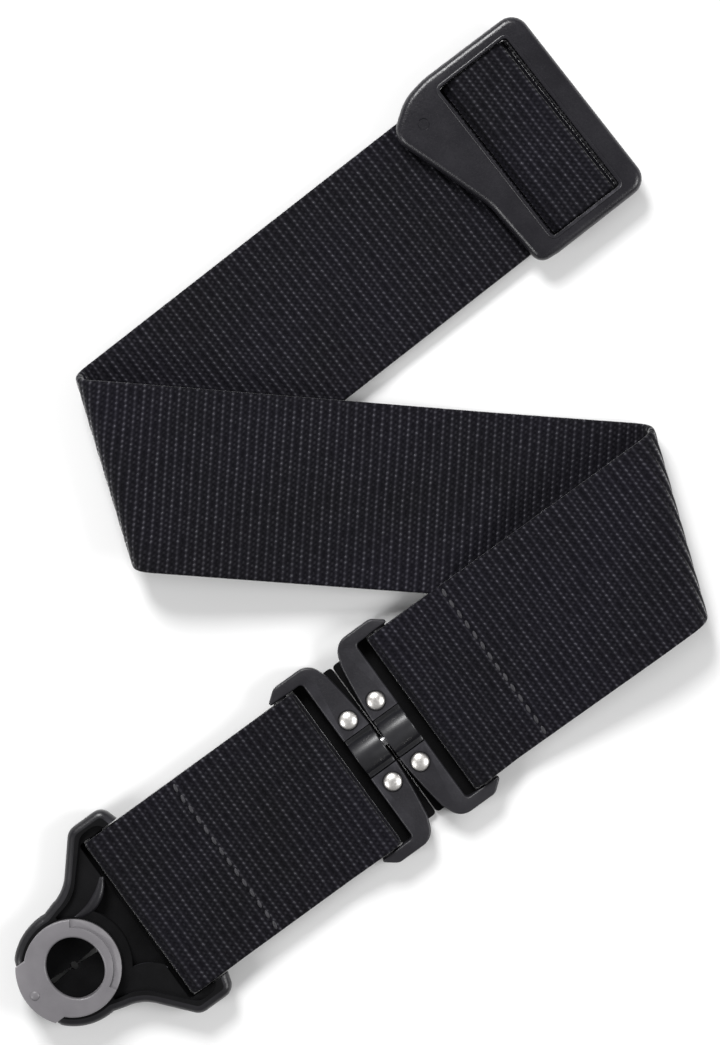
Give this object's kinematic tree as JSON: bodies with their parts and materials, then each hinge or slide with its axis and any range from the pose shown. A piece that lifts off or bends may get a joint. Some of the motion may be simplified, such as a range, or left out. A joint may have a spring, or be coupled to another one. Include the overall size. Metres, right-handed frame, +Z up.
{
  "type": "guitar strap",
  "caption": "Wide woven guitar strap lying Z-folded, with a slide adjuster, a swivel link between riveted frames and a push-on button lock with a turning release ring.",
  "frame": {"origin": "centre of the bounding box's base, on the surface that the folded strap lies on", "axes": "+Z up off the surface, +Y along the strap's longest extent from the lock to the adjuster, +X to the right"},
  "size_m": [0.189, 0.2748, 0.0153],
  "materials": {
    "webbing": "ribbed black nylon",
    "frame_plastic": "fine-grained dark grey moulding",
    "saddle_metal": "gloss black",
    "bright_steel": "bright",
    "spring_steel": "plain",
    "ring_plastic": "satin mid-grey"
  },
  "bodies": {
    "strap": {"main_webbing": "webbing"},
    "adjuster": {"adjuster_frame": "frame_plastic", "adjuster_webbing_hump": "webbing"},
    "upper_link": {"upper_link_frame": "frame_plastic", "upper_link_saddle": "saddle_metal", "upper_link_back_plate": "saddle_metal", "upper_link_rivet_1": "bright_steel", "upper_link_rivet_2": "bright_steel", "swivel_pin": "bright_steel"},
    "lower_link": {"lower_link_frame": "frame_plastic", "lower_link_saddle": "saddle_metal", "lower_link_back_plate": "saddle_metal", "lower_link_rivet_1": "bright_steel", "lower_link_rivet_2": "bright_steel"},
    "end_band": {"end_webbing": "webbing"},
    "lock": {"lock_housing": "frame_plastic", "lock_back_plate": "frame_plastic", "ring_retainer": "spring_steel", "ring_return_spring": "spring_steel", "lock_screw_1": "spring_steel", "lock_screw_2": "spring_steel"},
    "ring": {"release_ring": "ring_plastic", "jaw_cam_plate": "spring_steel"},
    "jaw_left": {"lock_jaw_left": "saddle_metal"},
    "jaw_right": {"lock_jaw_right": "saddle_metal"}
  },
  "joints": [
    {"name": "adjuster_slide", "type": "slide", "parent": "strap", "child": "adjuster", "axis": [-0.788, -0.6157, 0], "range_m": [0, 0.05]},
    {"name": "upper_bar_hinge", "type": "hinge", "parent": "strap", "child": "upper_link", "pos_m": [0.01961, -0.04988, 0.0044], "axis": [-0.5878, 0.809, 0], "range_deg": [-60, 60]},
    {"name": "link_swivel", "type": "hinge", "parent": "upper_link", "child": "lower_link", "pos_m": [0.00618, -0.05964, 0.0044], "axis": [0.809, 0.5878, 0], "continuous": true},
    {"name": "lower_bar_hinge", "type": "hinge", "parent": "lower_link", "child": "end_band", "pos_m": [-0.00725, -0.0694, 0.0044], "axis": [-0.5878, 0.809, 0], "range_deg": [-60, 60]},
    {"name": "lock_bar_hinge", "type": "hinge", "parent": "end_band", "child": "lock", "pos_m": [-0.05741, -0.10584, 0.0044], "axis": [-0.5878, 0.809, 0], "range_deg": [-60, 60]},
    {"name": "ring_turn", "type": "hinge", "parent": "lock", "child": "ring", "pos_m": [-0.07836, -0.12106, 0.01], "axis": [0, 0, 1], "range_deg": [0, 45], "stiffness_Nm_per_rad": 0.05, "springref_deg": -20.05},
    {"name": "jaw_left_slide", "type": "slide", "parent": "lock", "child": "jaw_left", "axis": [-0.5878, 0.809, 0], "range_m": [0, 0.0028]},
    {"name": "jaw_right_slide", "type": "slide", "parent": "lock", "child": "jaw_right", "axis": [0.5878, -0.809, 0], "range_m": [0, 0.0028]}
  ],
  "couplings": [
    {"joint": "jaw_left_slide", "follows": "ring_turn", "m_per_rad": 0.003438},
    {"joint": "jaw_right_slide", "follows": "ring_turn", "m_per_rad": 0.003438}
  ]
}
